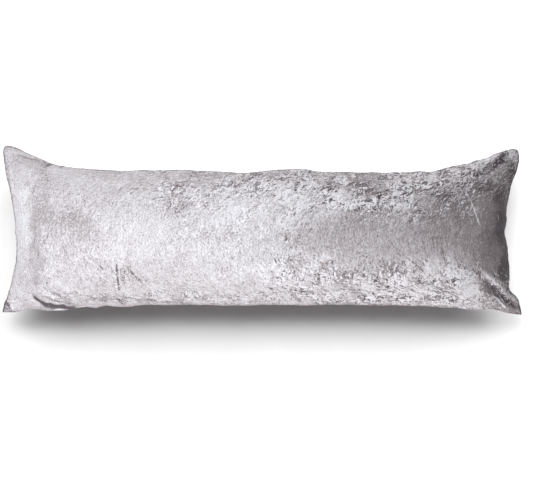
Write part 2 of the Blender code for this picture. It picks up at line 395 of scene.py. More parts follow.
def outline_point(u, v):
    """Plan position of the point u along (0 to 1) and v across."""
    lb, rb = CORNERS["left_back"], CORNERS["right_back"]
    lf, rf = CORNERS["left_front"], CORNERS["right_front"]
    back_x = lb[0] + u * (rb[0] - lb[0])
    front_x = lf[0] + u * (rf[0] - lf[0])
    back_y = smooth_line(LONG_SEAMS, 1, back_x)
    front_y = smooth_line(LONG_SEAMS, 2, front_x)
    left_x = smooth_line(END_SEAMS, 1, lf[1] + v * (lb[1] - lf[1]))
    right_x = smooth_line(END_SEAMS, 2, rf[1] + v * (rb[1] - rf[1]))
    left_y = lf[1] + v * (lb[1] - lf[1])
    right_y = rf[1] + v * (rb[1] - rf[1])
    corner = [
        (1 - u) * (1 - v) * lf[k] + u * (1 - v) * rf[k] + (1 - u) * v * lb[k] + u * v * rb[k]
        for k in (0, 1)
    ]
    x = (1 - v) * front_x + v * back_x + (1 - u) * left_x + u * right_x - corner[0]
    y = (1 - v) * front_y + v * back_y + (1 - u) * left_y + u * right_y - corner[1]
    return x, y


def arc(share):
    radius = 1 / math.sin(SEAM_ANGLE)
    foot = radius * math.cos(SEAM_ANGLE)
    across = 1 - np.clip(share, 0, 1)
    return (np.sqrt(radius**2 - across**2) - foot) / (radius - foot)


def swell(u, v):
    from_end = np.minimum(u, 1 - u) * CUT[0] / END_RISE
    from_side = np.minimum(v, 1 - v) * 2
    return arc(from_end) * arc(from_side)


def seam_height(u, v):
    ear = (np.abs(2 * u - 1) ** 6) * (np.abs(2 * v - 1) ** 3)
    return SEAM_HEIGHT - SEAM_DROOP * ear


def along_curve(x, y, fx, fy, half, angle, bow, width):
    """1 on the middle of a bowed line, falling away to its sides and ends."""
    c, s = math.cos(math.radians(angle)), math.sin(math.radians(angle))
    along = ((x - fx) * c + (y - fy) * s) / half
    across = -(x - fx) * s + (y - fy) * c - bow * (1 - along**2)
    return np.clip(1 - along**2, 0, 1) ** 1.5 * np.exp(-((across / width) ** 2))


def fold_height(face, x, y):
    return sum((depth * along_curve(x, y, *place) for _, on, *place, depth in FOLDS if on == face), 0 * x)


def stuffing_height(x, y):
    total = np.zeros_like(x)
    for sx, sy, along, across, height in STUFFING:
        total += height * np.exp(-(((x - sx) / along) ** 2) - ((y - sy) / across) ** 2)
    return total


def spacing(length, cell, seam_cell, count=None):
    """Cell edges from 0 to length: small cells at both seams, growing to cell within 25 mm."""
    d = np.linspace(0, length, 20001)
    edge = np.minimum(d, length - d)
    ease = np.clip(edge / 25, 0, 1)
    size = seam_cell + (cell - seam_cell) * ease * ease * (3 - 2 * ease)
    number = np.concatenate([[0], np.cumsum((1 / size[1:] + 1 / size[:-1]) / 2 * np.diff(d))])
    n = count or int(round(number[-1] / 2) * 2)
    return np.interp(np.linspace(0, number[-1], n + 1), number, d)


def by_arc_length(heights):
    """The map from even cloth to even plan along a profile of (plan, height), both from 0 to 1."""
    plan, height = heights
    steps = np.hypot(np.diff(plan), np.diff(height))
    run = np.concatenate([[0], np.cumsum(steps)])
    return lambda share: np.interp(share, run / run[-1], (plan - plan[0]) / (plan[-1] - plan[0]))


def round_corner(a, b, radius):
    """Moves points near a corner, a and b from its two seams, onto a rounded corner."""
    near = (a < radius) & (b < radius)
    p, q = np.where(near, 1 - a / radius, 0), np.where(near, 1 - b / radius, 0)
    pa, qb = p * np.sqrt(1 - q * q / 2), q * np.sqrt(1 - p * p / 2)
    return np.where(near, radius * (1 - pa), a), np.where(near, radius * (1 - qb), b)


def smooth_random(seed, along, longest, shortest, count=14):
    """A smooth wandering line with an rms of about 1."""
    rng = np.random.default_rng(seed)
    total = np.zeros_like(along)
    for _ in range(count):
        wave = math.exp(rng.uniform(math.log(shortest), math.log(longest)))
        total += np.sin(2 * math.pi * (along / wave + rng.random()))
    return total / math.sqrt(count / 2)


def surface(folded=True):
    """Grids of the front and back panel's points, and each point's cloth coordinates, in mm."""
    s = spacing(CUT[0], CELL, SEAM_CELL)
    t = spacing(CUT[1], CELL, SEAM_CELL)
    s, t = np.meshgrid(s, t, indexing="ij")
    edge = (s <= 0) | (s >= CUT[0]) | (t <= 0) | (t >= CUT[1])

    # Round the corners in the cloth's own plane.
    ends = {"left": s, "right": CUT[0] - s}
    sides = {"front": t, "back": CUT[1] - t}
    sr, tr = s.copy(), t.copy()
    for name, (_, _, radius) in CORNERS.items():
        end, side = name.split("_")
        a, b = round_corner(ends[end], sides[side], radius)
        near = (ends[end] < radius) & (sides[side] < radius)
        sr = np.where(near, a if end == "left" else CUT[0] - a, sr)
        tr = np.where(near, b if side == "front" else CUT[1] - b, tr)

    # Cloth climbs steeply from the seams, so even cloth isn't even in plan there.
    line = np.linspace(0, 1, 2001)
    half = np.full_like(line, 0.5)
    along = by_arc_length((line * 1270, CROWN * swell(line, half)))
    across = by_arc_length((line * 352, CROWN * swell(half, line)))
    us, vs = sr / CUT[0], tr / CUT[1]
    u = us + (along(us) - us) * arc(np.minimum(vs, 1 - vs) * 2)
    v = vs + (across(vs) - vs) * arc(np.minimum(us, 1 - us) * CUT[0] / END_RISE)
    x, y = outline_point(u, v)

    us0, vs0 = s / CUT[0], t / CUT[1]
    u0 = us0 + (along(us0) - us0) * arc(np.minimum(vs0, 1 - vs0) * 2)
    v0 = vs0 + (across(vs0) - vs0) * arc(np.minimum(us0, 1 - us0) * CUT[0] / END_RISE)
    full = swell(u0, v0)
    seam = seam_height(u, v)
    station = smooth_line(FULLNESS, 1, x)
    free = np.clip(full / 0.22, 0, 1)
    folds = {face: fold_height(face, x, y) if folded else 0.0 * x for face in ("front", "back")}
    front = seam + CROWN * station * full + free * (folds["front"] + stuffing_height(x, y))
    press = np.clip(full / BACK_FLATTEN, 0, 1)
    back = seam * (1 - press) ** 1.75
    lift = np.clip((1 - press) / 0.5, 0, 1) * free
    back = np.maximum(back - lift * folds["back"], 0)
    back = np.where(press >= 1, 0.0, back)

    # The panels roll over into the seam, which lies in a groove between them. The back panel
    # carries the weight, so its roll stands a little prouder. The rolls reach the outline.
    from_seam = [s, CUT[0] - s, t, CUT[1] - t]
    outward = [(-1, 0), (1, 0), (0, -1), (0, 1)]
    panels = []
    for z, proud in ((front, 1.3), (back, 1.9)):
        px, py = x.copy(), y.copy()
        for d, (ox, oy) in zip(from_seam, outward):
            roll = proud * (d / 4.0) * np.exp(1 - d / 4.0) - 1.7 * np.exp(-((d / 1.7) ** 2))
            roll = roll - 2.2 * np.exp(-d / 26)
            px, py = px + ox * roll, py + oy * roll
        panels.append(np.stack([px, py, z], axis=-1))
    front, back = panels
    middle = (front + back) / 2
    front[edge] = middle[edge]
    back[edge] = middle[edge]
    return s, t, edge, front, back


def grid_normals(points):
    du = np.gradient(points, axis=0)
    dv = np.gradient(points, axis=1)
    n = np.cross(du, dv)
    return n / np.maximum(np.linalg.norm(n, axis=-1, keepdims=True), 1e-9)


def pucker(s, t, points, seed, way):
    """Small gathers that run square to the seam and die out over the panel."""
    n = grid_normals(points) * way
    total = np.zeros_like(s)
    for k, (d, along) in enumerate(((s, t), (CUT[0] - s, t), (t, s), (CUT[1] - t, s))):
        wander = smooth_random(seed + k, along, 46, 15)
        slow = smooth_random(seed + 10 + k, along, 160, 60)
        total += 0.45 * wander * np.exp(-d / 16) * (1 - np.exp(-d / 2.5))
        total += 0.9 * slow * np.exp(-d / 42) * (1 - np.exp(-d / 8))
    return points + n * total[..., None]


def wander(x, y, seed, longest, shortest, count=18):
    """A smooth wandering field over the plan with an rms of about 1."""
    rng = np.random.default_rng(seed)
    total = np.zeros_like(x)
    for _ in range(count):
        wave = math.exp(rng.uniform(math.log(shortest), math.log(longest)))
        way, phase = rng.uniform(0, 2 * math.pi, 2)
        total += np.sin(2 * math.pi * (x * math.cos(way) + y * math.sin(way)) / wave + phase)
    return total / math.sqrt(count / 2)


def soft_patch(x, y, row):
    _, px, py, a, b, turn = row[:6]
    c, s = math.cos(math.radians(turn)), math.sin(math.radians(turn))
    along, across = ((x - px) * c + (y - py) * s) / a, (-(x - px) * s + (y - py) * c) / b
    return np.exp(-0.9 * (along**2 + across**2) ** 1.2)


def pile_state(x, y, marked=True):
    """Tone, crush and satin of the pile at each point of a panel: only the front one is marked. The tone holds painted
    light and shade as well as the pile's own lay.
    """
    mx, my = x + 1.3 * wander(x, y, 7, 45, 16), y + 1.3 * wander(x, y, 8, 45, 16)
    painted_fold_light = sum((change * along_curve(mx, my, *place) for _, *place, change in FOLD_PAINTED_LIGHT_AND_BLOTS if marked), 0 * x)
    x, y = x + 6 * wander(x, y, 5, 110, 28), y + 5 * wander(x, y, 6, 110, 28)
    tone, crush, satin = painted_fold_light, np.full_like(x, USUAL_CRUSH), np.zeros_like(x)
    for row in PILE_TONES_AND_PAINTED_LIGHT:
        tone = tone + row[6] * soft_patch(x, y, row)
    for row in CRUSHES:
        soft = soft_patch(x, y, row)
        crush, satin = crush + row[6] * soft, satin + row[7] * soft
    return tone, np.clip(crush, 0, 1.1), np.clip(satin, 0, 1)


def seam_shade(s, t):
    """How deep a point lies in the dark of the seam: most at the ends of the pillow."""
    depth = np.zeros_like(s)
    for d, much in ((s, 1.05), (CUT[0] - s, 0.95), (CUT[1] - t, 0.66), (t, 0.42)):
        depth = np.maximum(depth, much * np.exp(-((d / SEAM_DARK) ** 1.6)))
    return depth


# ---------------------------------------------------------------------------
# Cloth
# ---------------------------------------------------------------------------
SIM_CELL = 8.0
SIM_FRAMES = 24
SLACK = 0.003              # how much more cloth than the modelled shape takes, out on the panels
SEAM_SLACK = 0.060         # and at the seams, where the thread gathers it
MOST_LIFT = 5.0            # how far a wrinkle may stand off the modelled shape


def at_grid(grid, rows, cols):
    """The grid's values at fractional rows and columns."""
    i = np.clip(rows.astype(int), 0, grid.shape[0] - 2)
    j = np.clip(cols.astype(int), 0, grid.shape[1] - 2)
    a, b = rows - i, cols - j
    if grid.ndim == 3:
        a, b = a[..., None], b[..., None]
    return (
        grid[i, j] * (1 - a) * (1 - b) + grid[i + 1, j] * a * (1 - b)
        + grid[i, j + 1] * (1 - a) * b + grid[i + 1, j + 1] * a * b
    )


def blurred(grid, radius):
    """Three box blurs along both axes, which come close to a Gaussian."""
    width = 2 * radius + 1
    for _ in range(3):
        for axis in (0, 1):
            pad = [(0, 0)] * grid.ndim
            pad[axis] = (radius + 1, radius)
            run = np.cumsum(np.pad(grid, pad, mode="edge"), axis=axis)
            grid = (np.take(run, range(width, run.shape[axis]), axis) - np.take(run, range(run.shape[axis] - width), axis)) / width
    return grid


def inflate():
    """Sews two flat panels together round the shape, fills them with air and returns how each wrinkles, in mm."""
    s, t, _, front, back = surface(folded=False)
    ni, nj = int(round(CUT[0] / SIM_CELL)), int(round(CUT[1] / SIM_CELL))
    cs, ct = np.meshgrid(np.linspace(0, CUT[0], ni + 1), np.linspace(0, CUT[1], nj + 1), indexing="ij")
    rows = np.interp(cs, s[:, 0], np.arange(s.shape[0]))
    cols = np.interp(ct, t[0], np.arange(t.shape[1]))
    top, under = at_grid(front, rows, cols), at_grid(back, rows, cols)
    rim = np.zeros(cs.shape, bool)
    rim[0] = rim[-1] = rim[:, 0] = rim[:, -1] = True
    index = np.arange(rim.size).reshape(rim.shape)
    below = index.copy()
    below[~rim] = rim.size + np.arange((~rim).sum())

    # Cloth to spare at the seams, more in one place than the next.
    spare = np.zeros_like(cs)
    for k, (d, along) in enumerate(((cs, ct), (CUT[0] - cs, ct), (ct, cs), (CUT[1] - ct, cs))):
        gathered = np.clip(0.7 + 0.3 * smooth_random(70 + k, along, 160, 50), 0, 1) * np.exp(-d / 34)
        spare = np.maximum(spare, gathered)
    ripple = 0.3 * wander(cs, ct, 77, 60, 24) * ~rim
    top, under = top + ripple[..., None] * grid_normals(top), under + 0.0
    points = np.concatenate([top.reshape(-1, 3), under[~rim]]) / 1000

    def quads(k):
        return np.stack([k[:-1, :-1], k[1:, :-1], k[1:, 1:], k[:-1, 1:]], axis=-1).reshape(-1, 4)

    mesh = bpy.data.meshes.new("sewn_panels")
    mesh.from_pydata(points.tolist(), [], quads(index).tolist() + quads(below)[:, ::-1].tolist())
    sewn = bpy.data.objects.new("sewn_panels", mesh)
    bpy.context.scene.collection.objects.link(sewn)
    held = sewn.vertex_groups.new(name="held")
    resting = under[..., 2] < 0.5
    held.add(np.concatenate([index[rim], below[~rim & resting]]).tolist(), 1.0, "REPLACE")
    taut = sewn.vertex_groups.new(name="taut")
    for vertex, weight in enumerate((1 - np.concatenate([spare.ravel(), spare[~rim]])).tolist()):
        taut.add([vertex], weight, "REPLACE")

    cloth = sewn.modifiers.new("cloth", "CLOTH")
    how = cloth.settings
    how.quality = 6
    how.mass = 0.002
    how.tension_stiffness, how.compression_stiffness = 25, 25
    how.shear_stiffness, how.bending_stiffness = 8, 0.005
    how.air_damping = 2.0
    how.vertex_group_mass = "held"
    how.vertex_group_shrink = "taut"
    how.shrink_min, how.shrink_max = -SEAM_SLACK, -SLACK
    how.use_pressure = True
    how.uniform_pressure_force = 3.0
    how.effector_weights.gravity = 0
    cloth.collision_settings.use_collision = False
    cloth.point_cache.frame_start = 1
    cloth.point_cache.frame_end = SIM_FRAMES
    scene = bpy.context.scene
    for number in range(1, SIM_FRAMES + 1):
        scene.frame_set(number)
    done = sewn.evaluated_get(bpy.context.evaluated_depsgraph_get())
    moved = np.empty(len(points) * 3)
    done.data.vertices.foreach_get("co", moved)
    moved = (moved.reshape(-1, 3) - points) * 1000
    scene.frame_set(1)
    bpy.data.objects.remove(sewn)
    bpy.data.meshes.remove(mesh)

    # Only the wrinkles are kept: the broad swelling is already in the shape.
    found = []
    fine_rows = np.interp(s, cs[:, 0], np.arange(ni + 1))
    fine_cols = np.interp(t, ct[0], np.arange(nj + 1))
    for shape, part, way in ((top, index, 1), (under, below, -1)):
        lift = (moved[part] * grid_normals(shape) * way).sum(axis=-1)
        lift = np.clip(blurred(lift, 1) - blurred(lift, 5), -MOST_LIFT, MOST_LIFT)
        found.append(at_grid(lift, fine_rows, fine_cols))
    return found


# ---------------------------------------------------------------------------
# Mesh of the pillow
# ---------------------------------------------------------------------------
def texture_place(s, t, face):
    """Where the cloth lies in the texture: the front panel in two strips, the back in one."""
    u, v = s / CUT[0], t / CUT[1]
    if face == "back":
        return 0.005 + 0.99 * u, 0.005 + 0.255 * v, None
    left = (0.005 + 0.99 * (2 * u), 0.27 + 0.355 * v)
    right = (0.005 + 0.99 * (2 * u - 1), 0.64 + 0.355 * v)
    return left, right, None


def build_pillow():
    s, t, edge, front, back = surface()
    rise, fall = inflate()
    front = front + grid_normals(front) * rise[..., None]
    back = back - grid_normals(back) * fall[..., None]
    front = pucker(s, t, front, 11, 1)
    back = pucker(s, t, back, 31, -1)
    back[..., 2] = np.maximum(back[..., 2], 0)
    ni, nj = s.shape

    index = np.arange(ni * nj).reshape(ni, nj)
    # The back panel's inside uses every second point: it lies face down.
    keep = edge.copy()
    keep[::2, ::2] = True
    back_index = np.full((ni, nj), -1)
    back_index[edge] = index[edge]
    inside = keep & ~edge
    back_index[inside] = ni * nj + np.arange(inside.sum())
    points = np.concatenate([front.reshape(-1, 3), back[inside]]) / 1000

    quads = np.stack(
        [index[:-1, :-1], index[1:, :-1], index[1:, 1:], index[:-1, 1:]], axis=-1
    ).reshape(-1, 4)
    faces = [tuple(q) for q in quads.tolist()]
    corners = [[(i, j), (i + 1, j), (i + 1, j + 1), (i, j + 1)]
               for i in range(ni - 1) for j in range(nj - 1)]
    for i in range(0, ni - 1, 2):
        for j in range(0, nj - 1, 2):
            ring = [(i, j), (i, j + 1), (i, j + 2), (i + 1, j + 2), (i + 2, j + 2),
                    (i + 2, j + 1), (i + 2, j), (i + 1, j)]
            ring = [k for k in ring if back_index[k] >= 0]
            faces.append(tuple(int(back_index[k]) for k in ring))
            corners.append(ring)
    mesh = bpy.data.meshes.new("velvet_pillow")
    mesh.from_pydata(points.tolist(), [], faces)

    front_count = (ni - 1) * (nj - 1)
    cloth, bake, plan = [], [], []
    for f, ring in enumerate(corners):
        on_front = f < front_count
        centre = sum(s[k] for k in ring) / len(ring)
        for k in ring:
            a, b = s[k], t[k]
            plan.append((front[k][0] / 1000, front[k][1] / 1000) if on_front else (a / 1000, 2 + b / 1000))
            if on_front:
                cloth.append((a / 1000, b / 1000))
                left, right, _ = texture_place(a, b, "front")
                bake.append(left if centre < CUT[0] / 2 else right)
            else:
                cloth.append((a / 1000, -b / 1000 - 0.5))
                bake.append(texture_place(a, b, "back")[:2])
    for name, values in (("OFBake", bake), ("Cloth", cloth), ("Plan", plan)):
        layer = mesh.uv_layers.new(name=name)
        layer.data.foreach_set("uv", np.array(values, np.float32).ravel())
    mesh.uv_layers.active = mesh.uv_layers["OFBake"]
    # The pile attribute holds the tone, painted light and shade included, the crush and the satin, and in its alpha the
    # painted shade of the seam.
    pile = np.zeros((len(points), 4), np.float32)
    pile[: ni * nj, :3] = np.stack(pile_state(front[..., 0], front[..., 1]), axis=-1).reshape(-1, 3)
    # The back panel takes three quarters of the same tones, painted light and shade included, without the folds'
    # painted light.
    under = back[inside]
    pile[ni * nj :, :3] = np.stack(pile_state(under[:, 0], under[:, 1], False), axis=-1) * (0.75, 0.8, 0.3)
    shade = seam_shade(s, t)
    pile[:, 3] = np.concatenate([shade.ravel(), shade[inside]])
    layer = mesh.attributes.new("pile", "FLOAT_COLOR", "POINT")
    layer.data.foreach_set("color", pile.ravel())
    mesh.validate()
    mesh.shade_smooth()
    pillow = bpy.data.objects.new("velvet_pillow", mesh)
    bpy.context.scene.collection.objects.link(pillow)
    return pillow


# ---------------------------------------------------------------------------
# Materials
# ---------------------------------------------------------------------------
class Graph:
    """A few short names for building a node material."""

    def __init__(self, name):
        self.material = bpy.data.materials.new(name)
        self.material.use_nodes = True
        self.tree = self.material.node_tree
        self.shader = self.tree.nodes["Principled BSDF"]

    def link(self, value, socket):
        if isinstance(value, bpy.types.NodeSocket):
            self.tree.links.new(value, socket)
        elif value is not None:
            socket.default_value = value

    def node(self, kind, **settings):
        made = self.tree.nodes.new(kind)
        for key, value in settings.items():
            setattr(made, key, value)
        return made

    def math(self, operation, a, b=None, c=None, clamp=False):
        made = self.node("ShaderNodeMath", operation=operation, use_clamp=clamp)
        for value, socket in zip((a, b, c), made.inputs):
            self.link(value, socket)
        return made.outputs[0]

    def add(self, a, b):
        return self.math("ADD", a, b)

    def times(self, a, b):
        return self.math("MULTIPLY", a, b)

    def span(self, value, low, high, to_low=0.0, to_high=1.0, smooth=True):
        made = self.node("ShaderNodeMapRange", interpolation_type="SMOOTHSTEP" if smooth else "LINEAR")
        for k, v in enumerate((value, low, high, to_low, to_high)):
            self.link(v, made.inputs[k])
        return made.outputs[0]

    def noise(self, at, scale, detail=2.0, roughness=0.5, distortion=0.0, dimensions="2D", lacunarity=2.0):
        made = self.node("ShaderNodeTexNoise", noise_dimensions=dimensions)
        for key, value in (("Vector", at), ("Scale", scale), ("Detail", detail),
                           ("Roughness", roughness), ("Distortion", distortion), ("Lacunarity", lacunarity)):
            self.link(value, made.inputs[key])
        return made.outputs[0]

    def warped(self, at, scale, amount):
        """Coordinates pushed about by up to half the amount."""
        made = self.node("ShaderNodeTexNoise", noise_dimensions="2D")
        self.link(at, made.inputs["Vector"])
        made.inputs["Scale"].default_value = scale
        made.inputs["Detail"].default_value = 1
        push = self.node("ShaderNodeVectorMath", operation="MULTIPLY_ADD")
        self.link(made.outputs["Color"], push.inputs[0])
        push.inputs[1].default_value = (amount, amount, 0)
        push.inputs[2].default_value = (-amount / 2, -amount / 2, 0)
        moved = self.node("ShaderNodeVectorMath", operation="ADD")
        self.link(at, moved.inputs[0])
        self.link(push.outputs[0], moved.inputs[1])
        return moved.outputs[0]

    def centred(self, value):
        return self.math("SUBTRACT", value, 0.5)

    def stretched(self, at, x, y, turn=0.0, shift=(0.0, 0.0)):
        made = self.node("ShaderNodeMapping")
        self.link(at, made.inputs["Vector"])
        made.inputs["Location"].default_value = (shift[0], shift[1], 0)
        made.inputs["Rotation"].default_value = (0, 0, math.radians(turn))
        made.inputs["Scale"].default_value = (x, y, 1)
        return made.outputs[0]

    def along(self, at, turn, length, width, shift=(0.0, 0.0)):
        """Coordinates for streaks of this length and width, in metres, turned by this many degrees."""
        made = self.node("ShaderNodeMapping", vector_type="TEXTURE")
        self.link(at, made.inputs["Vector"])
        made.inputs["Location"].default_value = (shift[0], shift[1], 0)
        made.inputs["Rotation"].default_value = (0, 0, math.radians(turn))
        made.inputs["Scale"].default_value = (length, width, 1)
        return made.outputs[0]

    def flowing(self, at, plan):
        """Coordinates bent so that lines along Y bow out to the right at both hems, and the way across such a line."""
        place = self.node("ShaderNodeSeparateXYZ")
        self.link(plan, place.inputs[0])
        y = self.add(self.math("MAXIMUM", self.math("MINIMUM", place.outputs[1], 0.26), -0.26), -FLOW_MIDDLE)
        bend = self.node("ShaderNodeCombineXYZ")
        self.link(self.times(self.times(y, y), -1 / FLOW_BOW), bend.inputs[0])
        bent = self.node("ShaderNodeVectorMath", operation="ADD")
        self.link(at, bent.inputs[0])
        self.link(bend.outputs[0], bent.inputs[1])
        side = self.node("ShaderNodeCombineXYZ")
        side.inputs[0].default_value = -1
        self.link(self.times(y, 2 / FLOW_BOW), side.inputs[1])
        across = self.node("ShaderNodeVectorMath", operation="NORMALIZE")
        self.link(side.outputs[0], across.inputs[0])
        return bent.outputs[0], across.outputs[0]

    def moved(self, at, way, much):
        made = self.node("ShaderNodeVectorMath", operation="MULTIPLY_ADD")
        self.link(way, made.inputs[0])
        made.inputs[1].default_value = (much, much, much)
        self.link(at, made.inputs[2])
        return made.outputs[0]

    def stroke(self, plan, x, y, half, angle, bow, width):
        """1 on the middle of a bowed line of the plan, in mm, falling away to its sides and ends."""
        made = self.node("ShaderNodeMapping", vector_type="TEXTURE")
        self.link(plan, made.inputs["Vector"])
        made.inputs["Location"].default_value = (x / 1000, y / 1000, 0)
        made.inputs["Rotation"].default_value = (0, 0, math.radians(angle))
        made.inputs["Scale"].default_value = (half / 1000, width / 1000, 1)
        place = self.node("ShaderNodeSeparateXYZ")
        self.link(made.outputs[0], place.inputs[0])
        along = self.times(place.outputs[0], place.outputs[0])
        off = self.math("MULTIPLY_ADD", along, bow / width, self.math("SUBTRACT", place.outputs[1], bow / width))
        return self.times(self.span(self.math("ABSOLUTE", off), 0.2, 1.7, 1, 0), self.span(along, 0.25, 1, 1, 0))

    def ramp(self, value, stops):
        made = self.node("ShaderNodeValToRGB")
        band = made.color_ramp
        band.interpolation = "LINEAR"
        while len(band.elements) < len(stops):
            band.elements.new(0.5)
        for element, (place, colour) in zip(band.elements, stops):
            element.position = place
            element.color = (*colour, 1)
        self.link(value, made.inputs[0])
        return made.outputs[0]

    def bump(self, height, strength, distance, normal=None):
        made = self.node("ShaderNodeBump")
        made.inputs["Strength"].default_value = strength
        made.inputs["Distance"].default_value = distance
        self.link(height, made.inputs["Height"])
        if normal is not None:
            self.link(normal, made.inputs["Normal"])
        return made.outputs[0]


# The nap lies along Y on a line along the middle, at this Y, and turns towards X at both hems: metres,
# and a smaller bow turns it more.
FLOW_MIDDLE = -0.035
FLOW_BOW = 0.24

# Base colour of the pile from the darkest tone to the lightest; the tone carries the pile's lay and painted light and
# shade.
PILE_COLOURS = [
    (0.00, (0.068, 0.0500, 0.0592)),
    (0.12, (0.135, 0.1088, 0.1157)),
    (0.25, (0.246, 0.2083, 0.2138)),
    (0.50, (0.427, 0.3832, 0.4008)),
    (0.72, (0.602, 0.5650, 0.5930)),
    (0.88, (0.694, 0.6580, 0.6920)),
    (1.00, (0.742, 0.7060, 0.7460)),
]


def tuft_light_and_shade(g, at, scale, detail, roughness, across, step):
    """How noise rises from one point to the next: painted light and shade of small tufts lit from one side."""
    there = g.moved(at, across, step)
    return g.math("SUBTRACT", g.noise(at, scale, detail, roughness, 0.2), g.noise(there, scale, detail, roughness, 0.2))


def pile_and_painted_light(g, at, plan, zone, crush, satin):
    """How light the pile looks, around 0.5, painted light and shade included, and how high it stands."""
    flow, across = g.flowing(at, plan)
    warped = g.warped(at, 45, 0.019)
    drifts = g.centred(g.noise(at, 24, 2, 0.5, 0.3))
    # Some stretches are worked more than others.
    worked = g.times(crush, g.span(g.noise(g.stretched(at, 1, 1.2, 0, (2.3, 4.1)), 17, 3, 0.6, 0.4), 0.40, 0.60, 0.60, 1.35))
    dark = g.span(zone, -0.30, 0.0, 1, 0)
    # Patches of 6 to 16 mm pressed one way or the other: more of them are light where the zone is light.
    lay = g.add(g.noise(warped, 82, 4, 0.70, 0.5), g.times(drifts, 0.40))
    lay = g.add(lay, g.times(zone, 0.35))
    patches = g.centred(g.span(lay, 0.42, 0.58))
    # The nap: short streaks of fibres.
    nap = g.centred(g.noise(g.along(g.warped(flow, 60, 0.007), 90, 0.0078, 0.0032), 1, 2, 0.6, 0.0))
    # Painted light and shade of small tufts lit from one side: thin dark lines on their shaded sides and light curls on
    # their lit sides, wandering, following the nap.
    tufts = tuft_light_and_shade(g, warped, 70, 4, 0.72, across, 0.0027)
    fine = tuft_light_and_shade(g, at, 150, 2, 0.6, across, 0.0021)
    bunch = g.span(g.add(g.noise(g.stretched(at, 1, 1, 0, (7.7, 3.3)), 42, 3, 0.6, 0.3), g.times(worked, 0.22)), 0.44, 0.66)
    tuft_shade_sides = g.span(tufts, -0.17, -0.035, 1, 0)
    tuft_lit_sides = g.span(tufts, 0.04, 0.17)
    # Long thin creases between them.
    bent = g.noise(g.stretched(g.warped(at, 75, 0.009), 1, 1, 0, (3.1, 0.9)), 44, 3, 0.55, 0.0)
    crease = g.span(g.math("ABSOLUTE", g.centred(bent)), 0.0, 0.022, 1, 0)
    crease = g.times(crease, g.span(g.noise(g.stretched(at, 1, 1, 0, (1.7, 9.3)), 50, 2, 0.5, 0.3), 0.46, 0.60))
    grain = g.centred(g.noise(at, 245, 1, 0.5, 0.2))
    combed = g.centred(g.noise(g.stretched(at, 430, 75, 2), 1, 2, 0.55, 0.2))
    combed = g.add(combed, g.times(g.centred(g.noise(g.stretched(at, 175, 26, -3), 1, 2, 0.5, 0.3)), 0.75))

    loose = g.math("SUBTRACT", 1.0, g.times(satin, 0.55))
    tone = g.add(0.5, g.times(zone, g.math("SUBTRACT", 1.0, g.times(crush, 0.35))))
    even = tone
    tone = g.add(tone, g.times(worked, 0.085))
    tone = g.add(tone, g.times(drifts, 0.05))
    tone = g.add(tone, g.times(g.centred(g.noise(g.along(flow, 90, 0.030, 0.014), 1, 2, 0.55, 0.3)), 0.22))
    tone = g.add(tone, g.times(patches, g.add(0.04, g.times(worked, g.add(0.40, g.times(worked, 0.22))))))
    tone = g.add(tone, g.times(nap, 0.60))
    tone = g.add(tone, g.times(tufts, g.times(loose, g.add(0.10, g.times(worked, 0.6)))))
    tone = g.add(tone, g.times(fine, g.times(loose, g.add(0.26, g.times(worked, 0.80)))))
    tone = g.add(tone, g.times(g.times(tuft_shade_sides, bunch), g.times(loose, g.times(g.add(-0.08, g.times(worked, -0.78)), g.math("SUBTRACT", 1.0, g.times(dark, 0.8))))))
    tone = g.add(tone, g.times(tuft_lit_sides, g.times(loose, g.times(worked, g.add(0.58, g.times(dark, 0.90))))))
    tone = g.add(tone, g.times(grain, g.add(0.50, g.times(worked, 0.25))))
    tone = g.add(tone, g.times(combed, g.add(0.06, g.times(satin, 0.50))))
    tone = g.add(tone, g.times(crease, g.times(loose, g.times(worked, g.math("SUBTRACT", g.times(dark, 1.50), 0.60)))))
    off = g.math("SUBTRACT", tone, even)
    tone = g.math("SUBTRACT", tone, g.times(g.math("MINIMUM", off, 0.0), g.times(dark, 0.70)))
    tone = g.math("SUBTRACT", tone, g.times(g.math("MAXIMUM", off, 0.0), g.math("SUBTRACT", 0.30, g.times(dark, 0.30))))
    height = g.add(g.times(patches, 0.4), g.times(grain, 0.4))
    height = g.add(height, g.times(tuft_shade_sides, -0.5))
    return tone, height


def velvet():
    g = Graph("crushed_velvet")
    at = g.node("ShaderNodeUVMap", uv_map="Cloth").outputs[0]
    plan = g.node("ShaderNodeUVMap", uv_map="Plan").outputs[0]
    pile = g.node("ShaderNodeAttribute", attribute_name="pile")
    zones = g.node("ShaderNodeSeparateColor")
    g.link(pile.outputs["Color"], zones.inputs[0])
    tone, height = pile_and_painted_light(g, at, plan, *zones.outputs)
    shaky = g.warped(plan, 130, 0.0035)
    worn = g.span(g.noise(plan, 150, 1, 0.5), 0.35, 0.55, 0.35, 1)
    for _, *place, change in STROKES:
        line = g.times(g.stroke(shaky, *place), worn)
        tone = g.add(tone, g.times(line, change))
        height = g.add(height, g.times(line, -0.8))
    # Painted shade along the seam, darkest at the thread, from the alpha of the pile attribute.
    tone = g.add(tone, g.times(pile.outputs["Alpha"], -0.80))
    colour = g.ramp(tone, PILE_COLOURS)
    g.link(colour, g.shader.inputs["Base Color"])
    g.link(g.span(tone, 0, 1, 0.70, 0.50), g.shader.inputs["Roughness"])
    g.link(g.bump(height, 0.35, 0.0015), g.shader.inputs["Normal"])
    g.shader.inputs["Sheen Weight"].default_value = 0.35
    g.shader.inputs["Sheen Roughness"].default_value = 0.4
    g.shader.inputs["Sheen Tint"].default_value = (0.96, 0.94, 1.0, 1.0)
    g.shader.inputs["Specular IOR Level"].default_value = 0.35
    return g.material


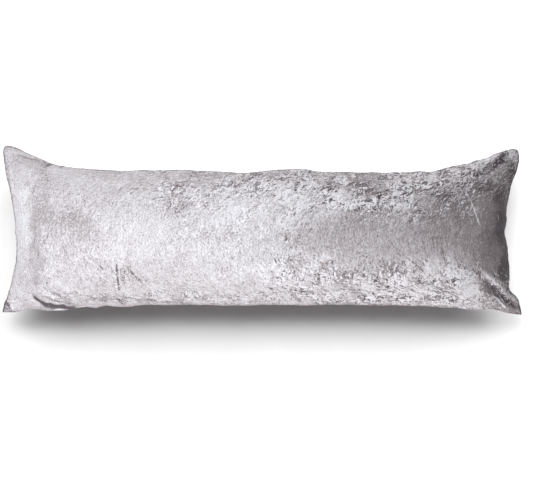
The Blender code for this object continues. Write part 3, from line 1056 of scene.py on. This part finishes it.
def paper():
    g = Graph("pale_floor")
    at = g.node("ShaderNodeTexCoord").outputs["Object"]
    grain = g.noise(at, 6, 4, 0.5, 0, "3D")
    g.link(g.ramp(grain, [(0.3, (0.90, 0.90, 0.90)), (0.7, (0.93, 0.93, 0.93))]), g.shader.inputs["Base Color"])
    g.shader.inputs["Roughness"].default_value = 0.9
    g.shader.inputs["Specular IOR Level"].default_value = 0.1
    return g.material


# ---------------------------------------------------------------------------
# Studio
# ---------------------------------------------------------------------------
# Soft boxes that light the pillow: a broad one over its left end and a low one beyond it, both a
# little cooler, one along its front side and a weaker one along its back, both a little warmer.
COLD, COOL, WARM = (0.876, 1.0, 1.042), (0.923, 1.0, 1.013), (1.052, 1.0, 0.974)
#   name          power  place                 aimed at          size        colour
PILLOW_LAMPS = [
    ("top_box",    37.5, (-0.70, -0.10, 1.60), (-0.45, 0, 0.1), (1.0, 0.8), COOL),
    ("left_box",    8.0, (-1.90, -0.10, 0.70), (-0.4, 0, 0.1),  (0.8, 0.8), COLD),
    ("front_box",  11.5, (0.35, -1.55, 0.90),  (0.1, 0, 0.1),   (1.8, 0.5), WARM),
    ("back_box",    5.5, (-0.10, 1.60, 0.75),  (0.0, 0, 0.1),   (1.8, 0.5), WARM),
]
# Overhead banks behind the pillow light the floor to white and throw the soft shadow forward.
#   name             strength  shines from        spread
FLOOR_LAMPS = [
    ("bank_far_left", 0.85, (-1.4, 1.08, 1.0), 40),
    ("bank_left", 0.66, (-0.3, 0.50, 1.0), 30),
    ("bank_middle", 2.38, (-0.3, 1.09, 1.0), 46),
    ("bank_right", 1.00, (0.55, 1.15, 1.0), 34),
    ("bank_far_right", 2.00, (1.4, 1.0, 1.0), 38),
]


def only_on(lamp, name, objects):
    """This lamp lights only these objects."""
    group = bpy.data.collections.new(name)
    for obj in objects:
        group.objects.link(obj)
    lamp.light_linking.receiver_collection = group


def lamp(name, kind, energy, at, to, size=None, colour=(1, 1, 1), angle=None):
    data = bpy.data.lights.new(name, kind)
    data.energy = energy
    data.color = colour
    if kind == "AREA":
        data.shape = "RECTANGLE"
        data.size, data.size_y = size
    if angle is not None:
        data.angle = math.radians(angle)
    obj = bpy.data.objects.new(name, data)
    obj.location = at
    aim = Vector(to) - Vector(at)
    obj.rotation_euler = aim.to_track_quat("-Z", "Y").to_euler()
    bpy.context.scene.collection.objects.link(obj)
    return obj


def studio(pillow):
    scene = bpy.context.scene
    mesh = bpy.data.meshes.new("floor")
    half = 60.0
    mesh.from_pydata([(-half, -half, 0), (half, -half, 0), (half, half, 0), (-half, half, 0)], [], [(0, 1, 2, 3)])
    mesh.materials.append(paper())
    floor = bpy.data.objects.new("floor", mesh)
    scene.collection.objects.link(floor)

    world = bpy.data.worlds.new("studio")
    scene.world = world
    world.use_nodes = True
    # A faint white sky that looks as white as the floor where the camera sees it.
    tree = world.node_tree
    sky = tree.nodes["Background"]
    seen = tree.nodes.new("ShaderNodeLightPath")
    strength = tree.nodes.new("ShaderNodeMapRange")
    strength.inputs["To Min"].default_value = 0.12
    strength.inputs["To Max"].default_value = 1.0
    sky.inputs["Color"].default_value = (1, 1, 1, 1)
    tree.links.new(seen.outputs["Is Camera Ray"], strength.inputs["Value"])
    tree.links.new(strength.outputs["Result"], sky.inputs["Strength"])

    for name, energy, at, to, size, colour in PILLOW_LAMPS:
        only_on(lamp(name, "AREA", energy, at, to, size, colour), "lit_by_" + name, [pillow])
    for name, energy, way, spread in FLOOR_LAMPS:
        only_on(lamp(name, "SUN", energy, way, (0, 0, 0), angle=spread), "lit_by_" + name, [floor])

    # Millimetres to a picture point at the height of the seam sets the lens.
    distance = 3.2
    camera = bpy.data.cameras.new("camera")
    camera.sensor_width = 36
    camera.lens = 36 * distance / (540 * 0.002587)
    camera.clip_end = 100
    eye = bpy.data.objects.new("camera", camera)
    eye.location = (0.0221, -0.0511, 0.085 + distance)
    eye.rotation_euler = (0, 0, 0)
    scene.collection.objects.link(eye)
    scene.camera = eye
    scene.view_settings.view_transform = "Standard"
    scene.view_settings.look = "None"


pillow = build_pillow()
pillow.data.materials.append(velvet())
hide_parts("pillow_body")
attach(pillow, "root")
studio(pillow)
